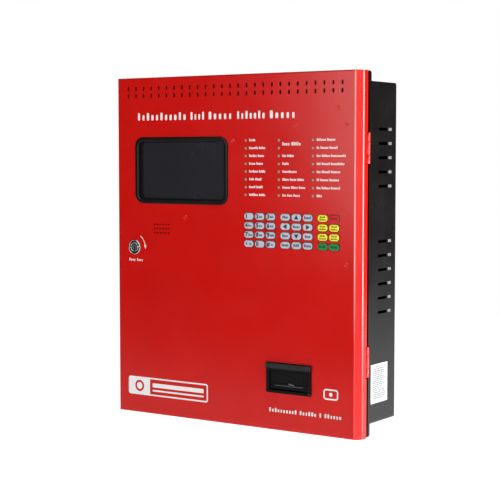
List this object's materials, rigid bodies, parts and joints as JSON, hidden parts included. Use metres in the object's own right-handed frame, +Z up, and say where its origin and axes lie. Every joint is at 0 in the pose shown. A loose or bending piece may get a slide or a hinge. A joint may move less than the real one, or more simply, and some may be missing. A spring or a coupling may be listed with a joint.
{
  "type": "fire alarm control panel",
  "caption": "Wall-mounted fire alarm control panel: steel cabinet with a hinged door that carries keys, lamps, a display, a cam lock and a small printer.",
  "frame": {"origin": "centre of the four wall holes, on the cabinet's back face", "axes": "+X right as seen by a person facing the door, +Y into the wall, +Z up"},
  "size_m": [0.4182, 0.128, 0.5],
  "materials": {
    "red_paint": "gloss powder coat",
    "black_paint": "satin powder coat",
    "black_plastic": "fine texture",
    "zinc_steel": "zinc plated",
    "circuit_board": "solder mask",
    "green_plastic": "moulded",
    "supply_case": "satin",
    "battery_case": "moulded",
    "foam": "closed-cell foam",
    "window_glass": "clear",
    "module_metal": "satin",
    "lamp_lens": "diffused",
    "lock_chrome": "polished",
    "lock_steel": "satin",
    "dark_metal": "satin",
    "platen_rubber": "matte",
    "paper": "matte",
    "key_grey": "moulded",
    "key_yellow": "moulded",
    "key_red": "moulded",
    "key_green": "moulded"
  },
  "bodies": {
    "enclosure": {"back_box": "black_paint", "entry_plugs": "black_plastic", "box_hinge_leaves": "red_paint", "hinge_pins": "red_paint", "mounting_plate": "zinc_steel", "main_board": "circuit_board", "terminal_blocks": "green_plastic", "power_supply": "supply_case", "batteries": "battery_case", "battery_bracket": "zinc_steel", "box_screws": "zinc_steel"},
    "door": {"door_panel": "red_paint", "door_hinge_leaves": "red_paint", "door_gasket": "foam", "display_window": "window_glass", "display_module": "module_metal", "indicator_lenses": "lamp_lens", "front_board": "circuit_board", "buzzer": "black_plastic", "door_nuts": "zinc_steel", "lock_barrel": "lock_chrome", "printer_frame": "black_plastic", "printer_mechanism": "dark_metal"},
    "lock": {"lock_plug": "lock_steel", "lock_cam": "zinc_steel"},
    "printer_flap": {"printer_flap": "black_plastic"},
    "platen_roller": {"platen_roller": "platen_rubber"},
    "paper_roll": {"paper_roll": "paper"},
    "key_1": {"key_1": "key_grey"},
    "key_2": {"key_2": "key_grey"},
    "key_3": {"key_3": "key_grey"},
    "key_4": {"key_4": "key_grey"},
    "key_5": {"key_5": "key_grey"},
    "key_6": {"key_6": "key_grey"},
    "key_7": {"key_7": "key_grey"},
    "key_8": {"key_8": "key_grey"},
    "key_9": {"key_9": "key_grey"},
    "key_star": {"key_star": "key_grey"},
    "key_0": {"key_0": "key_grey"},
    "key_hash": {"key_hash": "key_grey"},
    "key_mute": {"key_mute": "key_grey"},
    "key_up": {"key_up": "key_grey"},
    "key_print": {"key_print": "key_grey"},
    "key_left": {"key_left": "key_grey"},
    "key_enter": {"key_enter": "key_grey"},
    "key_right": {"key_right": "key_grey"},
    "key_back": {"key_back": "key_grey"},
    "key_down": {"key_down": "key_grey"},
    "key_page": {"key_page": "key_grey"},
    "key_start": {"key_start": "key_grey"},
    "key_menu": {"key_menu": "key_grey"},
    "key_cancel": {"key_cancel": "key_grey"},
    "key_check": {"key_check": "key_yellow"},
    "key_stop": {"key_stop": "key_red"},
    "key_sounder": {"key_sounder": "key_yellow"},
    "key_relay": {"key_relay": "key_yellow"},
    "key_zone": {"key_zone": "key_yellow"},
    "key_record": {"key_record": "key_yellow"},
    "key_test": {"key_test": "key_green"},
    "key_reset": {"key_reset": "key_green"}
  },
  "joints": [
    {"name": "door_hinge", "type": "hinge", "parent": "enclosure", "child": "door", "pos_m": [0.206, -0.0991, 0], "axis": [0, 0, 1], "range_deg": [0, 105]},
    {"name": "lock_turn", "type": "hinge", "parent": "door", "child": "lock", "pos_m": [-0.177, -0.1, -0.001], "axis": [0, 1, 0], "range_deg": [-90, 0]},
    {"name": "flap_hinge", "type": "hinge", "parent": "door", "child": "printer_flap", "pos_m": [0.0966, -0.122, -0.1905], "axis": [1, 0, 0], "range_deg": [0, 90]},
    {"name": "platen_spin", "type": "hinge", "parent": "printer_flap", "child": "platen_roller", "pos_m": [0.0966, -0.1168, -0.1699], "axis": [1, 0, 0], "continuous": true},
    {"name": "paper_spin", "type": "hinge", "parent": "door", "child": "paper_roll", "pos_m": [0.0966, -0.086, -0.1784], "axis": [1, 0, 0], "continuous": true},
    {"name": "key_1_press", "type": "slide", "parent": "door", "child": "key_1", "axis": [0, 1, 0], "range_m": [0, 0.0012], "stiffness_N_per_m": 600},
    {"name": "key_2_press", "type": "slide", "parent": "door", "child": "key_2", "axis": [0, 1, 0], "range_m": [0, 0.0012], "stiffness_N_per_m": 600},
    {"name": "key_3_press", "type": "slide", "parent": "door", "child": "key_3", "axis": [0, 1, 0], "range_m": [0, 0.0012], "stiffness_N_per_m": 600},
    {"name": "key_4_press", "type": "slide", "parent": "door", "child": "key_4", "axis": [0, 1, 0], "range_m": [0, 0.0012], "stiffness_N_per_m": 600},
    {"name": "key_5_press", "type": "slide", "parent": "door", "child": "key_5", "axis": [0, 1, 0], "range_m": [0, 0.0012], "stiffness_N_per_m": 600},
    {"name": "key_6_press", "type": "slide", "parent": "door", "child": "key_6", "axis": [0, 1, 0], "range_m": [0, 0.0012], "stiffness_N_per_m": 600},
    {"name": "key_7_press", "type": "slide", "parent": "door", "child": "key_7", "axis": [0, 1, 0], "range_m": [0, 0.0012], "stiffness_N_per_m": 600},
    {"name": "key_8_press", "type": "slide", "parent": "door", "child": "key_8", "axis": [0, 1, 0], "range_m": [0, 0.0012], "stiffness_N_per_m": 600},
    {"name": "key_9_press", "type": "slide", "parent": "door", "child": "key_9", "axis": [0, 1, 0], "range_m": [0, 0.0012], "stiffness_N_per_m": 600},
    {"name": "key_star_press", "type": "slide", "parent": "door", "child": "key_star", "axis": [0, 1, 0], "range_m": [0, 0.0012], "stiffness_N_per_m": 600},
    {"name": "key_0_press", "type": "slide", "parent": "door", "child": "key_0", "axis": [0, 1, 0], "range_m": [0, 0.0012], "stiffness_N_per_m": 600},
    {"name": "key_hash_press", "type": "slide", "parent": "door", "child": "key_hash", "axis": [0, 1, 0], "range_m": [0, 0.0012], "stiffness_N_per_m": 600},
    {"name": "key_mute_press", "type": "slide", "parent": "door", "child": "key_mute", "axis": [0, 1, 0], "range_m": [0, 0.0012], "stiffness_N_per_m": 600},
    {"name": "key_up_press", "type": "slide", "parent": "door", "child": "key_up", "axis": [0, 1, 0], "range_m": [0, 0.0012], "stiffness_N_per_m": 600},
    {"name": "key_print_press", "type": "slide", "parent": "door", "child": "key_print", "axis": [0, 1, 0], "range_m": [0, 0.0012], "stiffness_N_per_m": 600},
    {"name": "key_left_press", "type": "slide", "parent": "door", "child": "key_left", "axis": [0, 1, 0], "range_m": [0, 0.0012], "stiffness_N_per_m": 600},
    {"name": "key_enter_press", "type": "slide", "parent": "door", "child": "key_enter", "axis": [0, 1, 0], "range_m": [0, 0.0012], "stiffness_N_per_m": 600},
    {"name": "key_right_press", "type": "slide", "parent": "door", "child": "key_right", "axis": [0, 1, 0], "range_m": [0, 0.0012], "stiffness_N_per_m": 600},
    {"name": "key_back_press", "type": "slide", "parent": "door", "child": "key_back", "axis": [0, 1, 0], "range_m": [0, 0.0012], "stiffness_N_per_m": 600},
    {"name": "key_down_press", "type": "slide", "parent": "door", "child": "key_down", "axis": [0, 1, 0], "range_m": [0, 0.0012], "stiffness_N_per_m": 600},
    {"name": "key_page_press", "type": "slide", "parent": "door", "child": "key_page", "axis": [0, 1, 0], "range_m": [0, 0.0012], "stiffness_N_per_m": 600},
    {"name": "key_start_press", "type": "slide", "parent": "door", "child": "key_start", "axis": [0, 1, 0], "range_m": [0, 0.0012], "stiffness_N_per_m": 600},
    {"name": "key_menu_press", "type": "slide", "parent": "door", "child": "key_menu", "axis": [0, 1, 0], "range_m": [0, 0.0012], "stiffness_N_per_m": 600},
    {"name": "key_cancel_press", "type": "slide", "parent": "door", "child": "key_cancel", "axis": [0, 1, 0], "range_m": [0, 0.0012], "stiffness_N_per_m": 600},
    {"name": "key_check_press", "type": "slide", "parent": "door", "child": "key_check", "axis": [0, 1, 0], "range_m": [0, 0.0012], "stiffness_N_per_m": 600},
    {"name": "key_stop_press", "type": "slide", "parent": "door", "child": "key_stop", "axis": [0, 1, 0], "range_m": [0, 0.0012], "stiffness_N_per_m": 600},
    {"name": "key_sounder_press", "type": "slide", "parent": "door", "child": "key_sounder", "axis": [0, 1, 0], "range_m": [0, 0.0012], "stiffness_N_per_m": 600},
    {"name": "key_relay_press", "type": "slide", "parent": "door", "child": "key_relay", "axis": [0, 1, 0], "range_m": [0, 0.0012], "stiffness_N_per_m": 600},
    {"name": "key_zone_press", "type": "slide", "parent": "door", "child": "key_zone", "axis": [0, 1, 0], "range_m": [0, 0.0012], "stiffness_N_per_m": 600},
    {"name": "key_record_press", "type": "slide", "parent": "door", "child": "key_record", "axis": [0, 1, 0], "range_m": [0, 0.0012], "stiffness_N_per_m": 600},
    {"name": "key_test_press", "type": "slide", "parent": "door", "child": "key_test", "axis": [0, 1, 0], "range_m": [0, 0.0012], "stiffness_N_per_m": 600},
    {"name": "key_reset_press", "type": "slide", "parent": "door", "child": "key_reset", "axis": [0, 1, 0], "range_m": [0, 0.0012], "stiffness_N_per_m": 600}
  ]
}
